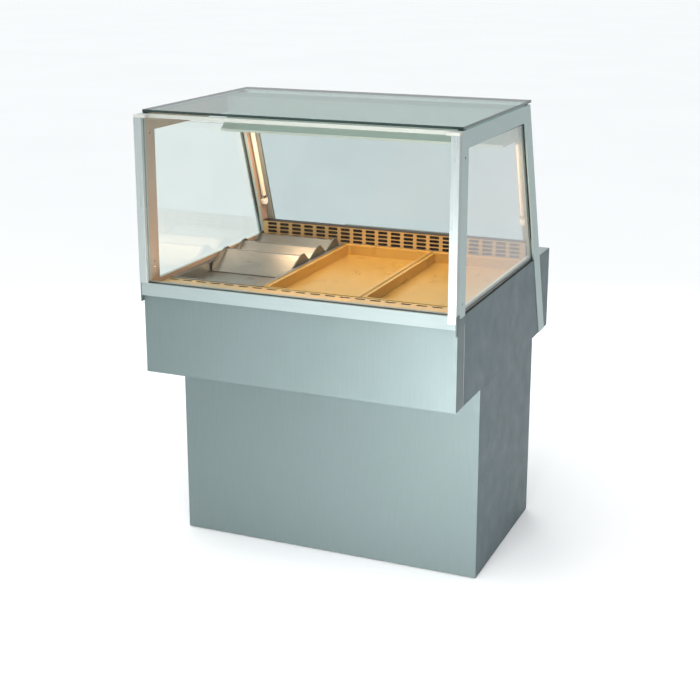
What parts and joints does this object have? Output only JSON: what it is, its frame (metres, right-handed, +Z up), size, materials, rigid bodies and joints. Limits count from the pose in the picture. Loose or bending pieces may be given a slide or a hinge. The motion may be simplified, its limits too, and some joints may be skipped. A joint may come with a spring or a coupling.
{
  "type": "hot food display case",
  "caption": "Glazed serving counter on a pedestal cabinet: heated trays under a slanted glass display with lamps, a lifting rear flap and rear cupboard doors.",
  "frame": {"origin": "on the floor under the middle of the bounding box", "axes": "+Z up, -Y towards the customer (front glass), +X to the right as the customer sees it from the front"},
  "size_m": [1.02, 1.02, 1.44],
  "materials": {
    "painted_steel": "satin silver-grey lacquer over sheet steel",
    "frame_paint": "satin light grey-green lacquer",
    "hood_paint": "satin grey-green lacquer",
    "satin_aluminium": "fine satin anodised",
    "tray_steel": "brushed stainless steel",
    "rack_steel": "dark brushed steel",
    "galvanised": "dull zinc-coated sheet",
    "bright_steel": "bright plated steel",
    "heater_steel": "heat-darkened sheath",
    "clear_glass": "clear toughened glass",
    "tinted_glass": "grey-green toughened glass, polished edge",
    "lamp_glass": "opal lamp tube",
    "black_rubber": "matt",
    "black_plastic": "matt moulded",
    "dark_plastic": "matt moulded, dark grey",
    "grey_plastic": "matt moulded",
    "white_plastic": "semi-gloss moulded",
    "switch_plastic": "gloss moulded"
  },
  "bodies": {
    "case": {"base_floor": "galvanised", "base_front_panel": "painted_steel", "base_left_panel": "painted_steel", "base_right_panel": "painted_steel", "base_rear_frame": "painted_steel", "control_box": "black_plastic", "electrical_box": "grey_plastic", "fan_motors": "galvanised", "fan_plate": "galvanised", "front_cross_rail": "satin_aluminium", "front_glass": "clear_glass", "front_post_left": "satin_aluminium", "front_post_right": "satin_aluminium", "front_rail": "satin_aluminium", "glass_seals": "black_rubber", "heating_element": "heater_steel", "hinge_pins": "bright_steel", "hood_lamps": "lamp_glass", "housing_bottom": "galvanised", "housing_front_panel": "painted_steel", "housing_left_panel": "painted_steel", "housing_right_panel": "painted_steel", "housing_rear_panel": "painted_steel", "inner_tub": "tray_steel", "lamp_holders": "white_plastic", "lamp_hood": "hood_paint", "levelling_feet": "black_plastic", "mains_gland": "black_plastic", "panel_screws": "bright_steel", "post_caps": "white_plastic", "rail_end_caps": "dark_plastic", "rear_air_grille": "tray_steel", "rear_shelf": "tray_steel", "rear_sill": "tray_steel", "side_frame_left": "frame_paint", "side_frame_right": "frame_paint", "side_glass_left": "clear_glass", "side_glass_right": "clear_glass", "side_strips": "frame_paint", "stile_lamps": "lamp_glass", "top_glass": "tinted_glass", "tray_bars": "galvanised"},
    "flap": {"flap_frame": "satin_aluminium", "flap_glass": "clear_glass", "flap_grip": "satin_aluminium"},
    "door_left": {"base_door_left": "painted_steel", "door_knob_left": "satin_aluminium"},
    "door_right": {"base_door_right": "painted_steel", "door_knob_right": "satin_aluminium"},
    "fan_left": {"fan_left": "black_plastic"},
    "fan_middle": {"fan_middle": "black_plastic"},
    "fan_right": {"fan_right": "black_plastic"},
    "thermostat": {"thermostat_knob": "black_plastic"},
    "heat_rocker": {"heat_switch": "switch_plastic"},
    "lamp_rocker": {"lamp_switch": "switch_plastic"},
    "tray_left": {"tray_left": "rack_steel"},
    "tray_middle": {"tray_middle": "tray_steel"},
    "tray_right": {"tray_right": "rack_steel"},
    "rack": {"stepped_rack": "rack_steel"},
    "front_grille": {"front_air_grille": "tray_steel"}
  },
  "joints": [
    {"name": "flap_hinge", "type": "hinge", "parent": "case", "child": "flap", "pos_m": [0, 0.18697, 1.395], "axis": [1, 0, 0], "range_deg": [0, 85]},
    {"name": "door_left_hinge", "type": "hinge", "parent": "case", "child": "door_left", "pos_m": [-0.469, 0.3185, 0.315], "axis": [0, 0, 1], "range_deg": [0, 105]},
    {"name": "door_right_hinge", "type": "hinge", "parent": "case", "child": "door_right", "pos_m": [0.469, 0.3185, 0.315], "axis": [0, 0, -1], "range_deg": [0, 105]},
    {"name": "thermostat_turn", "type": "hinge", "parent": "case", "child": "thermostat", "pos_m": [0.35, 0.4795, 0.8], "axis": [0, -1, 0], "range_deg": [0, 270]},
    {"name": "heat_switch_rock", "type": "hinge", "parent": "case", "child": "heat_rocker", "pos_m": [0.25, 0.4795, 0.8], "axis": [1, 0, 0], "range_deg": [-8, 8]},
    {"name": "lamp_switch_rock", "type": "hinge", "parent": "case", "child": "lamp_rocker", "pos_m": [0.19, 0.4795, 0.8], "axis": [1, 0, 0], "range_deg": [-8, 8]},
    {"name": "fan_left_spin", "type": "hinge", "parent": "case", "child": "fan_left", "pos_m": [-0.322, -0.09, 0.75], "axis": [0, 0, 1], "continuous": true},
    {"name": "tray_left_lift", "type": "slide", "parent": "case", "child": "tray_left", "axis": [0, 0, 1], "range_m": [0, 0.06]},
    {"name": "fan_middle_spin", "type": "hinge", "parent": "case", "child": "fan_middle", "pos_m": [0, -0.09, 0.75], "axis": [0, 0, 1], "continuous": true},
    {"name": "tray_middle_lift", "type": "slide", "parent": "case", "child": "tray_middle", "axis": [0, 0, 1], "range_m": [0, 0.06]},
    {"name": "fan_right_spin", "type": "hinge", "parent": "case", "child": "fan_right", "pos_m": [0.322, -0.09, 0.75], "axis": [0, 0, 1], "continuous": true},
    {"name": "tray_right_lift", "type": "slide", "parent": "case", "child": "tray_right", "axis": [0, 0, 1], "range_m": [0, 0.06]},
    {"name": "rack_lift", "type": "slide", "parent": "tray_left", "child": "rack", "axis": [0, 0, 1], "range_m": [0, 0.15]},
    {"name": "front_grille_lift", "type": "slide", "parent": "case", "child": "front_grille", "axis": [0, 0, 1], "range_m": [0, 0.1]}
  ]
}
